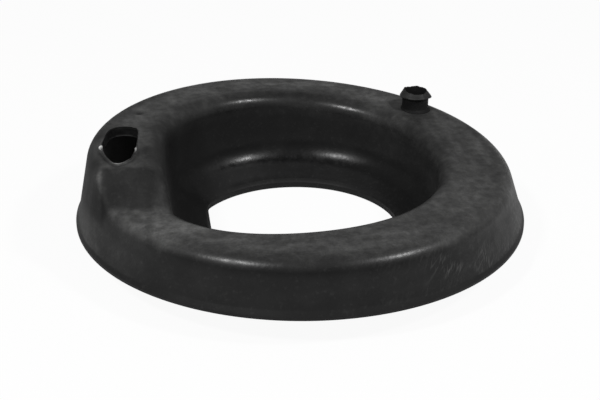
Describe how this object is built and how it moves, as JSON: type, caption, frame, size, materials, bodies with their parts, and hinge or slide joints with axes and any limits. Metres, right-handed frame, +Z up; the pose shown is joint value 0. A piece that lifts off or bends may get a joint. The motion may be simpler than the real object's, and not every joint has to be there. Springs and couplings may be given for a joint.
{
  "type": "spring cap",
  "caption": "Ring-shaped rubber cap for the end of a coil spring, with a helical crown, deep central bowl, stepped coil stop and a small barbed push-in nipple.",
  "frame": {"origin": "on the axis of the round base lip, at the level of the neck's lower rim, which is what the cap stands on", "axes": "+Z up through the crown along the spring's axis, +X to the right in the picture, +Y away from the picture's viewer"},
  "size_m": [0.14, 0.14, 0.0338],
  "materials": {
    "rubber": "matte black rubber with a slight sheen, dusty and scuffed"
  },
  "bodies": {
    "root": {"spring_cap": "rubber"}
  },
  "joints": []
}
